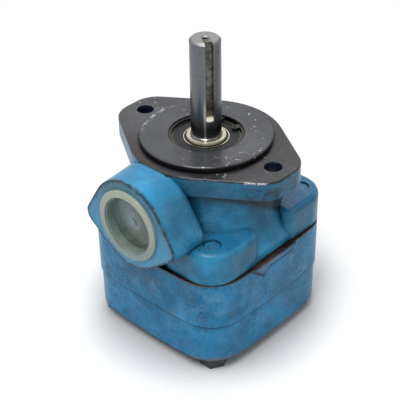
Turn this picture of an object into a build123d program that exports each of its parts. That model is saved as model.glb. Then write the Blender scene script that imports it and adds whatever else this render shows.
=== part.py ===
"""Hydraulic vane pump: two-bolt mounting flange, side inlet, and outlet in the rear cover.

Origin: centre of the mounting face, on the shaft axis. +Z runs out along the drive shaft, -Y is the inlet side,
and the two flange bolts lie on the X axis. The pump stands on the heads of its four cover screws, shaft up.
The housing is stacked down -Z: body, cam ring, cover. All sizes are in millimetres.
"""

from build123d import *
import math
import os

# ---------------------------------------------------------------- mounting flange and stack
pilot_radius = 41.275
pilot_height = 3.5
pilot_chamfer = 0.6
pilot_undercut = 0.8
flange_thickness = 12.5
flange_half_length = 65.7
flange_half_width = 48.2
flange_flank_angle = 56.4       # direction of each flank's normal from the X axis, degrees
flange_corner_radius = 18.0
flange_edge_break = 0.5
mount_spacing = 106.4
mount_hole_radius = 5.55

body_depth = 61.0               # mounting face to the joint with the cam ring
ring_width = 33.0
cover_thickness = 28.7
housing_half = 58.6             # half width across the middle of the bowed sides
housing_crown = 2.7             # how far each side bows out
housing_corner = 24.4
cover_step = 0.7                # the cover is this much smaller all round than the ring
cover_edge_chamfer = 1.5

# ---------------------------------------------------------------- cast body
trunk_radius = 45.0
trunk_waist_depth = 16.0        # mounting face to where the trunk starts to flare
trunk_flare = 5.0               # how far the flare would run past the skirt's flat sides at the joint
lug_inset = 2.6                 # straight sides of the lugs, inside the ring's bowed sides
skirt_inset = 0.8               # body between its lugs, inside the lugs
lug_corner = 19.0
lug_inner = 13.0                # middle plane to the inner side of each screw lug
lug_top_depth = 39.0            # mounting face to the top of the screw lugs
lug_side_round = 6.0
lug_edge_round = 4.5

inlet_depth = 30.0              # mounting face to the inlet axis
inlet_face = 69.5               # shaft axis to the inlet's machined face
inlet_boss_radius = 29.5
inlet_ear_offset = 28.4
inlet_ear_drop = 5.0
inlet_ear_radius = 8.0
inlet_draft = 4.0               # degrees
inlet_boss_length = 27.5
inlet_back_round = 5.0
inlet_throat_radius = 24.0
inlet_thread_radius = 19.6
inlet_thread_depth = 22.0
inlet_mouth_chamfer = 1.2
inlet_passage_radius = 15.0
inlet_passage_end = 31.0        # shaft axis to the end of the inlet passage

# ---------------------------------------------------------------- cover screws and dowels
screw_edge = 16.3               # screw axis to the ring's sides
screw_radius = 5.5
tapped_clearance = 0.1
tapped_chamfer = 0.5
through_clearance = 0.45
screw_head_flats = 15.9
screw_head_height = 7.1
screw_tip_chamfer = 0.8
screw_tip_recess = 1.0          # screw tip below the lug top
dowel_x = 28.0
dowel_edge = 11.6               # dowel axis to the ring's side
dowel_radius = 3.0
dowel_bite = 8.0                # length of dowel in the body and in the cover
dowel_clearance = 0.03
dowel_end_gap = 0.5

# ---------------------------------------------------------------- drive shaft and front bearing
shaft_radius = 9.525
shaft_reach = 67.3              # mounting face to the shaft end
shaft_chamfer = 1.4
centre_hole_radius = 1.6
centre_mouth_radius = 2.4
centre_hole_depth = 6.0
key_width = 4.76
key_depth = 2.5
keyway_length = 44.8            # shaft end to where the cutter starts to run out
keyway_cutter_radius = 12.0
keyway_angle = -32.0            # degrees from +X
journal_radius = 10.0
journal_top = 3.4
spline_root_radius = 8.7
spline_tip_radius = 9.8
spline_tooth_width = 2.6
spline_teeth = 10
spline_clearance = 0.05
shaft_end_gap = 1.0             # shaft end to the pressure plate

bearing_face = 0.9              # height of the bearing's outer face above the mounting face
bearing_outer_radius = 23.5
bearing_width = 14.0
bearing_fit = 0.01
outer_race_wall = 2.9
inner_race_wall = 4.3
ball_radius = 3.97
ball_count = 8
ball_clearance = 0.02
cage_wall = 1.2
cage_half_width = 4.9
cage_clearance = 0.05
shield_thickness = 0.7
shield_setback = 0.5
shield_bite = 0.5
shield_running_gap = 0.2
race_chamfer = 0.5
bore_chamfer = 0.5

body_snap_thickness = 1.5
body_snap_width = 2.6
body_snap_bite = 1.1            # how far the ring sits out into its groove
body_snap_gap = 30.0            # opening between its ears, degrees
body_snap_angle = 87.0
snap_ear_radius = 2.0
snap_ear_circle = 19.2
snap_ear_hole = 0.9
snap_clearance = 0.05
shaft_snap_thickness = 1.3
shaft_snap_radius = 12.2
shaft_snap_bite = 0.9
shaft_snap_gap = 5.0

seal_radius = 17.5
seal_width = 8.0
seal_case_wall = 1.0
seal_case_lip_radius = 13.0
seal_lip_clearance = 0.03
seal_gap = 0.5                  # bearing to seal
seal_relief_radius = 20.0
garter_radius = 0.75
garter_circle = 12.6
seal_drain_radius = 14.0
bush_radius = 12.5
bush_length = 18.0
bush_running_clearance = 0.03
bush_setback = 2.0              # bush end to the joint face

gallery_radius = 34.0
gallery_top_depth = 27.0
front_plate_radius = 37.0
front_plate_thickness = 20.0

# ---------------------------------------------------------------- pumping set
cam_minor_radius = 31.5
cam_major_radius = 34.5
cam_major_angle = 90.0          # degrees from +X
cam_points = 48
rotor_radius = 31.2
rotor_side_clearance = 0.03
vane_count = 12
vane_thickness = 2.0
vane_height = 9.5
vane_slot_clearance = 0.03      # each side
vane_tip_clearance = 0.2        # vane tip to the cam at its narrowest
vane_travel = 1.2
vane_root_gap = 0.1
vane_tip_bevel = 0.5
slot_root_radius = 1.7
port_inner_radius = 28.5
port_outer_radius = 34.0
port_arc = 40.0                 # degrees between the centres of a kidney's round ends
inlet_port_angle = 45.0
outlet_port_angle = 135.0
under_vane_inner = 18.5
under_vane_outer = 21.0
under_vane_depth = 1.5

face_seal_radius = 38.6         # inner radius of both joint seals
face_seal_width = 2.6
face_seal_depth = 2.2
seal_play = 0.03

# ---------------------------------------------------------------- cover and pressure plate
plate_radius = 36.0
plate_thickness = 11.5
plate_clearance = 0.05
plate_lift_gap = 0.7            # room behind the plate's rim
plate_groove_offset = 3.4       # plate's front face to its seal groove
plate_groove_width = 4.4
plate_groove_depth = 2.6
backup_width = 1.5
chamber_radius = 27.0
chamber_depth = 9.0             # beyond the plate's pocket
spring_wire_radius = 1.1
spring_radius = 15.0
spring_turns = 2.5
outlet_drop = 16.5              # cover joint to the outlet axis
outlet_thread_radius = 8.8
outlet_thread_depth = 16.0
outlet_passage_radius = 6.0
outlet_spotface_radius = 11.6
outlet_spotface_depth = 0.7
outlet_mouth_chamfer = 0.8

# ---------------------------------------------------------------- protective plug in the inlet
plug_rim_radius = 23.4
plug_rim_thickness = 1.7
plug_rim_round = 0.5
plug_wall_radius = 19.3
plug_bore_radius = 17.9
plug_mouth_chamfer = 0.8
plug_depth = 6.0
plug_floor = 1.5
plug_seat_gap = 0.03
plug_nub_radius = 2.2
plug_nub_height = 0.8
plug_step_radius = 12.5
plug_step_height = 0.4

# ---------------------------------------------------------------- levels and radii worked out from the above
cut_margin = 1.0                # how far a cutting shape runs past the surface it opens
ring_top = -body_depth
ring_bottom = ring_top - ring_width
lug_half = housing_half - lug_inset
skirt_half = lug_half - skirt_inset
trunk_foot_radius = skirt_half + trunk_flare
screw_offset = housing_half - screw_edge
dowel_y = housing_half - dowel_edge
cover_bottom = ring_bottom - cover_thickness
lug_top = -lug_top_depth
bearing_bottom = bearing_face - bearing_width
bearing_middle = (bearing_face + bearing_bottom) / 2
seal_top = bearing_bottom - seal_gap
seal_bottom = seal_top - seal_width
bush_bottom = ring_top + bush_setback
bush_top = bush_bottom + bush_length
inner_race_radius = journal_radius + bearing_fit + inner_race_wall
outer_race_bore = bearing_outer_radius - bearing_fit - outer_race_wall
ball_circle = (inner_race_radius + outer_race_bore) / 2
plate_back = ring_bottom - plate_thickness
pocket_bottom = plate_back - plate_lift_gap
chamber_bottom = pocket_bottom - chamber_depth
outlet_z = ring_bottom - outlet_drop
vane_tip_radius = cam_minor_radius - vane_tip_clearance
vane_root_radius = vane_tip_radius - vane_height
slot_bottom_radius = vane_root_radius - vane_travel - vane_root_gap
rotor_top = ring_top - rotor_side_clearance
rotor_bottom = ring_bottom + rotor_side_clearance
rotor_width = rotor_top - rotor_bottom
groove_top = ring_bottom - plate_groove_offset
groove_bottom = groove_top - plate_groove_width
groove_radius = plate_radius - plate_groove_depth
screw_places = [(sx * screw_offset, sy * screw_offset) for sx in (-1, 1) for sy in (-1, 1)]
dowel_places = [(dowel_x, dowel_y), (-dowel_x, -dowel_y)]
mount_places = [(mount_spacing / 2, 0), (-mount_spacing / 2, 0)]

os.makedirs("parts", exist_ok=True)


def save(part, name):
    """Label one finished sub-part and write it to its own STEP file."""
    part.label = name
    export_step(part, f"parts/{name}.step")


def bowed_square(half):
    """Housing outline: four sides that bow out, joined by round corners."""
    flat = half - housing_crown
    with BuildSketch() as outline:
        with BuildLine():
            for turn in (0, 90, 180, 270):
                ends = [Vector(flat, -flat), Vector(half, 0), Vector(flat, flat)]
                ThreePointArc(*[point.rotate(Axis.Z, turn) for point in ends])
        make_face()
        fillet(outline.vertices(), housing_corner)
    return outline.sketch


def flange_outline():
    """Two-bolt flange: a disc with straight flanks running out to blunt, rounded tips."""
    normal = math.radians(flange_flank_angle)
    tip = (flange_half_width - flange_half_length * math.cos(normal)) / math.sin(normal)
    touch_x = flange_half_width * math.cos(normal)
    touch_y = flange_half_width * math.sin(normal)
    right = [(touch_x, touch_y), (flange_half_length, tip), (flange_half_length, -tip), (touch_x, -touch_y)]
    left = [(-x, y) for x, y in reversed(right)]
    # both corners of a tip share its straight end, so neither takes more than half of it
    corner = min(flange_corner_radius, (tip - flange_edge_break) / math.tan(normal / 2))
    with BuildSketch() as outline:
        Circle(flange_half_width)
        Polygon(*right, *left, align=None)
        fillet(outline.vertices().filter_by(lambda v: abs(v.X) > touch_x + flange_edge_break), corner)
    return outline.sketch


def inlet_outline():
    """Inlet face: a disc stretched to an ear on each side. Drawn in the XZ plane's own axes."""
    with BuildSketch() as outline:
        with Locations((0, -inlet_depth)):
            Circle(inlet_boss_radius)
        with Locations(*[(side * inlet_ear_offset, -inlet_depth - inlet_ear_drop) for side in (-1, 1)]):
            Circle(inlet_ear_radius)
        make_hull()
    return outline.sketch


def kidneys(first_angle):
    """Two kidney ports, half a turn apart."""
    middle = (port_inner_radius + port_outer_radius) / 2
    with BuildSketch() as ports:
        for angle in (first_angle, first_angle + 180):
            SlotArc(
                CenterArc((0, 0), middle, angle - port_arc / 2, port_arc),
                port_outer_radius - port_inner_radius,
            )
    return ports.sketch


def cam_point(angle):
    """Cam contour: its radius swings smoothly between minor and major twice a turn."""
    swing = math.cos(math.radians(2 * (angle - cam_major_angle)))
    mean = (cam_major_radius + cam_minor_radius) / 2
    radius = mean + (cam_major_radius - cam_minor_radius) / 2 * swing
    return (radius * math.cos(math.radians(angle)), radius * math.sin(math.radians(angle)))


def spline_outline(extra):
    """Shaft spline, grown all round by extra."""
    tip = spline_tip_radius + extra
    with BuildSketch() as outline:
        with PolarLocations(tip / 2, spline_teeth):
            Rectangle(tip, spline_tooth_width + 2 * extra)
        Circle(tip, mode=Mode.INTERSECT)
        Circle(spline_root_radius + extra)
    return outline.sketch


def snap_ring_outline():
    """Internal snap ring with an eared gap."""
    outer = bearing_outer_radius + body_snap_bite
    half_gap = body_snap_gap / 2
    with BuildSketch() as outline:
        ring(outer, outer - body_snap_width)
        with Locations(Rotation(0, 0, body_snap_angle)):
            Polygon(
                (0, 0),
                (2 * outer, 2 * outer * math.tan(math.radians(half_gap))),
                (2 * outer, -2 * outer * math.tan(math.radians(half_gap))),
                align=None,
                mode=Mode.SUBTRACT,
            )
        for side in (-1, 1):
            ear_angle = body_snap_angle + side * (half_gap + math.degrees(snap_ear_radius / snap_ear_circle))
            reach = outer - body_snap_width / 2 - snap_ear_circle
            with Locations(Rotation(0, 0, ear_angle)):
                with Locations((snap_ear_circle, 0)):
                    Circle(snap_ear_radius)
                with Locations((snap_ear_circle + reach / 2, 0)):
                    Rectangle(reach, 2 * snap_ear_radius)
                with Locations((snap_ear_circle, 0)):
                    Circle(snap_ear_hole, mode=Mode.SUBTRACT)
    return outline.sketch


def ring(outer, inner):
    """Annulus drawn in the current sketch."""
    Circle(outer)
    Circle(inner, mode=Mode.SUBTRACT)


# ================================================================ housing pieces
with BuildPart() as inlet_boss:
    # widens from its face to a rounded back; joined to the body below
    with BuildSketch(Plane.XZ.offset(inlet_face)):
        add(inlet_outline())
    extrude(amount=-inlet_boss_length, taper=-inlet_draft)
    fillet(inlet_boss.faces().sort_by(Axis.Y)[-1].edges(), inlet_back_round)

with BuildPart() as trunk:
    # flares down to a skirt with flat sides between the lugs; joined to the body below
    with BuildSketch(Plane.XZ):
        with BuildLine():
            waist = (trunk_radius, -trunk_waist_depth)
            foot = (trunk_foot_radius, ring_top)
            Polyline(waist, (trunk_radius, 0), (0, 0), (0, ring_top), foot)
            TangentArc(waist, foot, tangent=(0, -1))
        make_face()
    revolve(axis=Axis.Z)
    with BuildSketch(Plane.XY.offset(ring_top)):
        RectangleRounded(2 * skirt_half, 2 * skirt_half, lug_corner)
    extrude(amount=body_depth, mode=Mode.INTERSECT)

with BuildPart() as pump_body:
    # four screw lugs with rounded shoulders
    with BuildSketch(Plane.XY.offset(ring_top)):
        lug_side = lug_half - lug_inner
        with GridLocations(lug_side + 2 * lug_inner, lug_side + 2 * lug_inner, 2, 2):
            RectangleRounded(lug_side, lug_side, lug_side_round)
        RectangleRounded(2 * lug_half, 2 * lug_half, lug_corner, mode=Mode.INTERSECT)
    extrude(amount=body_depth - lug_top_depth)
    fillet(pump_body.faces().filter_by(Axis.Z).sort_by(Axis.Z)[-4:].edges(), lug_edge_round)

    add(trunk.part)

    # inlet boss, and the throat that joins it to the trunk
    add(inlet_boss.part)
    with BuildSketch(Plane.XZ.offset(inlet_face - inlet_back_round)):
        with Locations((0, -inlet_depth)):
            Circle(inlet_throat_radius)
    extrude(amount=-(inlet_face - inlet_back_round - trunk_radius / 2))
    with BuildSketch(Plane.XY.offset(-flange_edge_break)):
        Rectangle(4 * housing_half, 4 * housing_half)
    extrude(amount=housing_half, mode=Mode.SUBTRACT)
    with BuildSketch(Plane.XY.offset(ring_top)):
        Rectangle(4 * housing_half, 4 * housing_half)
    extrude(amount=-housing_half, mode=Mode.SUBTRACT)

    # flange plate and pilot
    with BuildSketch(Plane.XY.offset(-flange_edge_break)):
        add(flange_outline())
    extrude(amount=flange_edge_break - flange_thickness)
    with BuildSketch(Plane.XY.offset(-flange_edge_break)):
        add(flange_outline())
    extrude(amount=flange_edge_break, taper=45)
    with BuildSketch(Plane.XY):
        Circle(pilot_radius)
    extrude(amount=pilot_height)
    chamfer(pump_body.faces().sort_by(Axis.Z)[-1].edges(), pilot_chamfer)
    with BuildSketch(Plane.XY):
        ring(pilot_radius + pilot_undercut, pilot_radius)
    extrude(amount=-pilot_undercut, mode=Mode.SUBTRACT)
    with BuildSketch(Plane.XY):
        with Locations(*mount_places):
            Circle(mount_hole_radius)
    extrude(amount=-flange_thickness - cut_margin, mode=Mode.SUBTRACT)

    # stepped bore for the snap ring, bearing and seal
    with BuildSketch(Plane.XZ):
        seat = bearing_outer_radius
        groove = seat + body_snap_bite + snap_clearance
        snap_top = bearing_face + body_snap_thickness + snap_clearance
        Polygon(
            (0, pilot_height + cut_margin),
            (seat + bore_chamfer, pilot_height + cut_margin),
            (seat + bore_chamfer, pilot_height),
            (seat, pilot_height - bore_chamfer),
            (seat, snap_top),
            (groove, snap_top),
            (groove, bearing_face),
            (seat, bearing_face),
            (seat, bearing_bottom),
            (seal_relief_radius, bearing_bottom),
            (seal_relief_radius, seal_top),
            (seal_radius, seal_top),
            (seal_radius, seal_bottom),
            (seal_drain_radius, seal_bottom),
            (seal_drain_radius, ring_top),
            (0, ring_top),
            align=None,
        )
    revolve(axis=Axis.Z, mode=Mode.SUBTRACT)

    # inlet: threaded mouth, passage and suction gallery
    with BuildSketch(Plane.XZ.offset(inlet_face)):
        with Locations((0, -inlet_depth)):
            Circle(inlet_thread_radius)
    extrude(amount=-inlet_thread_depth, mode=Mode.SUBTRACT)
    chamfer(
        pump_body.faces().filter_by(Axis.Y).sort_by(Axis.Y)[0].inner_wires().edges(),
        inlet_mouth_chamfer,
    )
    with BuildSketch(Plane.XZ.offset(inlet_face)):
        with Locations((0, -inlet_depth)):
            Circle(inlet_passage_radius)
    extrude(amount=inlet_passage_end - inlet_face, mode=Mode.SUBTRACT)
    with BuildSketch(Plane.XY.offset(ring_top)):
        Circle(gallery_radius)
    extrude(amount=body_depth - gallery_top_depth, mode=Mode.SUBTRACT)

    # joint face: pocket for the front plate, seal groove, tapped holes, dowel holes
    with BuildSketch(Plane.XY.offset(ring_top)):
        Circle(front_plate_radius + plate_clearance)
    extrude(amount=front_plate_thickness, mode=Mode.SUBTRACT)
    with BuildSketch(Plane.XY.offset(ring_top)):
        ring(face_seal_radius + face_seal_width, face_seal_radius)
    extrude(amount=face_seal_depth, mode=Mode.SUBTRACT)
    with BuildSketch(Plane.XY.offset(ring_top)):
        with Locations(*screw_places):
            Circle(screw_radius + tapped_clearance)
    extrude(amount=body_depth - lug_top_depth + cut_margin, mode=Mode.SUBTRACT)
    with BuildSketch(Plane.XY.offset(ring_top)):
        with Locations(*dowel_places):
            Circle(dowel_radius + dowel_clearance)
    extrude(amount=dowel_bite + dowel_end_gap, mode=Mode.SUBTRACT)
save(pump_body.part, "pump_body")


with BuildPart() as cam_ring:
    with BuildSketch(Plane.XY.offset(ring_bottom)):
        add(bowed_square(housing_half))
        with BuildLine():
            step = 360 / cam_points
            Spline(*[cam_point(index * step) for index in range(cam_points)], periodic=True)
        make_face(mode=Mode.SUBTRACT)
        with Locations(*screw_places):
            Circle(screw_radius + through_clearance, mode=Mode.SUBTRACT)
        with Locations(*dowel_places):
            Circle(dowel_radius + dowel_clearance, mode=Mode.SUBTRACT)
    extrude(amount=ring_width)
save(cam_ring.part, "cam_ring")

with BuildPart() as end_cover:
    with BuildSketch(Plane.XY.offset(ring_bottom)):
        add(bowed_square(housing_half - cover_step))
    extrude(amount=-cover_thickness)
    chamfer(end_cover.faces().sort_by(Axis.Z)[0].edges(), cover_edge_chamfer)
    with BuildSketch(Plane.XY.offset(ring_bottom)):
        with Locations(*screw_places):
            Circle(screw_radius + through_clearance)
    extrude(amount=-cover_thickness, mode=Mode.SUBTRACT)
    with BuildSketch(Plane.XY.offset(ring_bottom)):
        with Locations(*dowel_places):
            Circle(dowel_radius + dowel_clearance)
    extrude(amount=-dowel_bite - dowel_end_gap, mode=Mode.SUBTRACT)
    with BuildSketch(Plane.XY.offset(ring_bottom)):
        Circle(plate_radius + plate_clearance)
    extrude(amount=pocket_bottom - ring_bottom, mode=Mode.SUBTRACT)
    with BuildSketch(Plane.XY.offset(pocket_bottom)):
        Circle(chamber_radius)
    extrude(amount=-chamber_depth, mode=Mode.SUBTRACT)
    with BuildSketch(Plane.XY.offset(ring_bottom)):
        ring(face_seal_radius + face_seal_width, face_seal_radius)
    extrude(amount=-face_seal_depth, mode=Mode.SUBTRACT)
    # outlet on the side opposite the inlet
    outlet_side = housing_half - cover_step
    outlet_floor = outlet_side - outlet_spotface_depth
    with BuildSketch(Plane.XZ.offset(-outlet_floor)):
        with Locations((0, outlet_z)):
            Circle(outlet_spotface_radius)
    extrude(amount=-outlet_spotface_depth - cut_margin, mode=Mode.SUBTRACT)
    with BuildSketch(Plane.XZ.offset(-outlet_floor)):
        with Locations((0, outlet_z)):
            Circle(outlet_thread_radius)
    extrude(amount=outlet_thread_depth, mode=Mode.SUBTRACT)
    spotface = end_cover.faces().filter_by(Axis.Y).sort_by(Axis.Y)[-1]
    chamfer(spotface.inner_wires().edges(), outlet_mouth_chamfer)
    with BuildSketch(Plane.XZ.offset(-outlet_floor)):
        with Locations((0, outlet_z)):
            Circle(outlet_passage_radius)
    extrude(amount=outlet_floor - chamber_radius + spring_radius / 2, mode=Mode.SUBTRACT)
save(end_cover.part, "end_cover")

with BuildPart() as cover_bolts:
    with BuildSketch(Plane.XY.offset(cover_bottom)):
        with Locations(*screw_places):
            RegularPolygon(screw_head_flats / 2, 6, major_radius=False)
    extrude(amount=-screw_head_height)
    with BuildSketch(Plane.XY.offset(cover_bottom)):
        with Locations(*screw_places):
            Circle(screw_radius)
    extrude(amount=lug_top - screw_tip_recess - cover_bottom)
    chamfer(cover_bolts.faces().filter_by(Axis.Z).sort_by(Axis.Z)[-4:].edges(), screw_tip_chamfer)
save(cover_bolts.part, "cover_bolts")

with BuildPart() as dowel_pins:
    with BuildSketch(Plane.XY.offset(ring_bottom - dowel_bite)):
        with Locations(*dowel_places):
            Circle(dowel_radius)
    extrude(amount=ring_width + 2 * dowel_bite)
save(dowel_pins.part, "dowel_pins")

with BuildPart() as front_plate:
    # carries the rear bush; its kidneys lead oil from the suction gallery to the vanes
    with BuildSketch(Plane.XY.offset(ring_top)):
        ring(front_plate_radius, bush_radius)
        add(kidneys(inlet_port_angle), mode=Mode.SUBTRACT)
    extrude(amount=front_plate_thickness)
    with BuildSketch(Plane.XY.offset(ring_top)):
        ring(under_vane_outer, under_vane_inner)
    extrude(amount=under_vane_depth, mode=Mode.SUBTRACT)
save(front_plate.part, "front_plate")

with BuildPart() as body_face_seal:
    with BuildSketch(Plane.XY.offset(ring_top + seal_play)):
        ring(face_seal_radius + face_seal_width - seal_play, face_seal_radius + seal_play)
    extrude(amount=face_seal_depth - 2 * seal_play)
save(body_face_seal.part, "body_face_seal")

with BuildPart() as cover_face_seal:
    with BuildSketch(Plane.XY.offset(ring_bottom - seal_play)):
        ring(face_seal_radius + face_seal_width - seal_play, face_seal_radius + seal_play)
    extrude(amount=2 * seal_play - face_seal_depth)
save(cover_face_seal.part, "cover_face_seal")

# ================================================================ drive shaft
with BuildPart() as drive_shaft:
    shaft_bottom = ring_bottom + shaft_end_gap
    snap_groove = journal_radius - shaft_snap_bite
    snap_groove_top = bearing_face + shaft_snap_thickness + snap_clearance
    key_x = math.cos(math.radians(keyway_angle))
    key_y = math.sin(math.radians(keyway_angle))
    key_plane = Plane((0, 0, 0), x_dir=(key_x, key_y, 0), z_dir=(key_y, -key_x, 0))
    with BuildSketch(key_plane):
        Polygon(
            (0, shaft_bottom),
            (spline_root_radius, shaft_bottom),
            (spline_root_radius, ring_top),
            (journal_radius, ring_top),
            (journal_radius, bearing_face),
            (snap_groove, bearing_face),
            (snap_groove, snap_groove_top),
            (journal_radius, snap_groove_top),
            (journal_radius, journal_top),
            (shaft_radius, journal_top + journal_radius - shaft_radius),
            (shaft_radius, shaft_reach - shaft_chamfer),
            (shaft_radius - shaft_chamfer, shaft_reach),
            (centre_mouth_radius, shaft_reach),
            (centre_hole_radius, shaft_reach + centre_hole_radius - centre_mouth_radius),
            (centre_hole_radius, shaft_reach - centre_hole_depth),
            (0, shaft_reach - centre_hole_depth - centre_hole_radius),
            align=None,
        )
    revolve(axis=Axis.Z)
    with BuildSketch(Plane.XY.offset(shaft_bottom)):
        add(spline_outline(0))
    extrude(amount=ring_top - shaft_bottom)
    # keyway cut by a disc cutter, open at the shaft end
    with BuildSketch(key_plane.offset(-key_width / 2)):
        key_floor = shaft_radius - key_depth
        run_out = shaft_reach - keyway_length
        with Locations((key_floor + keyway_cutter_radius, run_out)):
            Circle(keyway_cutter_radius)
        with Locations((key_floor + key_depth, (run_out + shaft_reach + cut_margin) / 2)):
            Rectangle(2 * key_depth, keyway_length + cut_margin)
    extrude(amount=key_width, mode=Mode.SUBTRACT)
save(drive_shaft.part, "drive_shaft")

with BuildPart() as shaft_snap_ring:
    snap_bore = journal_radius - shaft_snap_bite + seal_play
    with BuildSketch(Plane.XY.offset(bearing_face + seal_play)):
        ring(shaft_snap_radius, snap_bore)
        with Locations((0, shaft_snap_radius)):
            Rectangle(shaft_snap_gap, shaft_snap_radius, mode=Mode.SUBTRACT)
    extrude(amount=shaft_snap_thickness)
save(shaft_snap_ring.part, "shaft_snap_ring")

# ================================================================ front ball bearing
with BuildPart() as bearing_outer_race:
    with BuildSketch(Plane.XY.offset(bearing_bottom)):
        ring(bearing_outer_radius - bearing_fit, outer_race_bore)
    extrude(amount=bearing_width)
    chamfer(bearing_outer_race.edges().filter_by(GeomType.CIRCLE).sort_by(SortBy.LENGTH)[-2:], race_chamfer)
    with BuildSketch(Plane.XZ):
        with Locations((ball_circle, bearing_middle)):
            Circle(ball_radius + ball_clearance)
        with Locations((outer_race_bore, bearing_face - shield_setback - shield_thickness / 2)):
            Rectangle(2 * (shield_bite + seal_play), shield_thickness + 2 * seal_play)
    revolve(axis=Axis.Z, mode=Mode.SUBTRACT)
save(bearing_outer_race.part, "bearing_outer_race")

with BuildPart() as bearing_inner_race:
    with BuildSketch(Plane.XY.offset(bearing_bottom)):
        ring(inner_race_radius, journal_radius + bearing_fit)
    extrude(amount=bearing_width)
    chamfer(bearing_inner_race.edges().filter_by(GeomType.CIRCLE).sort_by(SortBy.LENGTH)[:2], race_chamfer)
    with BuildSketch(Plane.XZ):
        with Locations((ball_circle, bearing_middle)):
            Circle(ball_radius + ball_clearance)
    revolve(axis=Axis.Z, mode=Mode.SUBTRACT)
save(bearing_inner_race.part, "bearing_inner_race")

with BuildPart() as bearing_balls:
    with Locations((0, 0, bearing_middle)):
        with PolarLocations(ball_circle, ball_count):
            Sphere(ball_radius)
save(bearing_balls.part, "bearing_balls")

with BuildPart() as bearing_cage:
    with BuildSketch(Plane.XY.offset(bearing_middle - cage_half_width)):
        ring(ball_circle + cage_wall / 2, ball_circle - cage_wall / 2)
    extrude(amount=2 * cage_half_width)
    with Locations((0, 0, bearing_middle)):
        with PolarLocations(ball_circle, ball_count):
            Cylinder(ball_radius + cage_clearance, 4 * cage_wall, rotation=(0, 90, 0), mode=Mode.SUBTRACT)
save(bearing_cage.part, "bearing_cage")

with BuildPart() as bearing_shield:
    with BuildSketch(Plane.XY.offset(bearing_face - shield_setback)):
        ring(outer_race_bore + shield_bite, inner_race_radius + shield_running_gap)
    extrude(amount=-shield_thickness)
save(bearing_shield.part, "bearing_shield")

with BuildPart() as housing_snap_ring:
    with BuildSketch(Plane.XY.offset(bearing_face)):
        add(snap_ring_outline())
    extrude(amount=body_snap_thickness)
save(housing_snap_ring.part, "housing_snap_ring")

# ================================================================ shaft seal and rear bush
with BuildPart() as shaft_seal_case:
    with BuildSketch(Plane.XZ):
        case_outer = seal_radius - bearing_fit
        Polygon(
            (case_outer, seal_top),
            (case_outer, seal_bottom),
            (seal_case_lip_radius, seal_bottom),
            (seal_case_lip_radius, seal_bottom + seal_case_wall),
            (case_outer - seal_case_wall, seal_bottom + seal_case_wall),
            (case_outer - seal_case_wall, seal_top),
            align=None,
        )
    revolve(axis=Axis.Z)
save(shaft_seal_case.part, "shaft_seal_case")

with BuildPart() as shaft_seal_lip:
    seal_touch = journal_radius + seal_lip_clearance
    web_floor = seal_bottom + seal_case_wall + seal_play
    web_top = web_floor + 1.6 * seal_case_wall
    with BuildSketch(Plane.XZ):
        Polygon(
            (seal_radius - bearing_fit - seal_case_wall - seal_play, web_floor),
            (seal_radius - bearing_fit - seal_case_wall - seal_play, web_top),
            (garter_circle, web_top),
            (garter_circle, seal_top - seal_case_wall),
            (seal_touch + seal_case_wall, seal_top - seal_case_wall),
            (seal_touch, seal_top - 3 * seal_case_wall),
            (seal_touch + seal_case_wall, seal_top - 4 * seal_case_wall),
            (seal_touch + seal_case_wall, web_floor),
            align=None,
        )
        with Locations((garter_circle, seal_top - 3 * seal_case_wall)):
            Circle(garter_radius + seal_play, mode=Mode.SUBTRACT)
    revolve(axis=Axis.Z)
save(shaft_seal_lip.part, "shaft_seal_lip")

with BuildPart() as seal_garter_spring:
    with BuildSketch(Plane.XZ):
        with Locations((garter_circle, seal_top - 3 * seal_case_wall)):
            Circle(garter_radius)
    revolve(axis=Axis.Z)
save(seal_garter_spring.part, "seal_garter_spring")

with BuildPart() as shaft_bushing:
    with BuildSketch(Plane.XY.offset(bush_bottom)):
        ring(bush_radius - bearing_fit, journal_radius + bush_running_clearance)
    extrude(amount=bush_length)
save(shaft_bushing.part, "shaft_bushing")

# ================================================================ pumping set
with BuildPart() as rotor:
    with BuildSketch(Plane.XY.offset(rotor_bottom)):
        Circle(rotor_radius)
        slot_length = 2 * rotor_radius - slot_bottom_radius
        with PolarLocations(slot_bottom_radius + slot_length / 2, vane_count):
            Rectangle(slot_length, vane_thickness + 2 * vane_slot_clearance, mode=Mode.SUBTRACT)
        with PolarLocations(slot_bottom_radius, vane_count):
            Circle(slot_root_radius, mode=Mode.SUBTRACT)
        add(spline_outline(spline_clearance), mode=Mode.SUBTRACT)
    extrude(amount=rotor_width)
save(rotor.part, "rotor")

for index in range(vane_count):
    with BuildPart() as vane:
        with BuildSketch(Plane.XY.offset(rotor_bottom).rotated((0, 0, index * 360 / vane_count))):
            Polygon(
                (vane_root_radius, -vane_thickness / 2),
                (vane_tip_radius, -vane_thickness / 2),
                (vane_tip_radius, vane_thickness / 2 - vane_tip_bevel),
                (vane_tip_radius - vane_tip_bevel, vane_thickness / 2),
                (vane_root_radius, vane_thickness / 2),
                align=None,
            )
        extrude(amount=rotor_width)
    save(vane.part, f"vane_{index + 1:02d}")

with BuildPart() as pressure_plate:
    with BuildSketch(Plane.XY.offset(ring_bottom)):
        Circle(plate_radius)
    extrude(amount=-plate_thickness)
    with BuildSketch(Plane.XY.offset(groove_top)):
        ring(plate_radius + cut_margin, groove_radius)
    extrude(amount=-plate_groove_width, mode=Mode.SUBTRACT)
    with BuildSketch(Plane.XY.offset(ring_bottom)):
        add(kidneys(outlet_port_angle))
    extrude(amount=-plate_thickness, mode=Mode.SUBTRACT)
    with BuildSketch(Plane.XY.offset(ring_bottom)):
        ring(under_vane_outer, under_vane_inner)
    extrude(amount=-under_vane_depth, mode=Mode.SUBTRACT)
save(pressure_plate.part, "pressure_plate")

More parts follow.
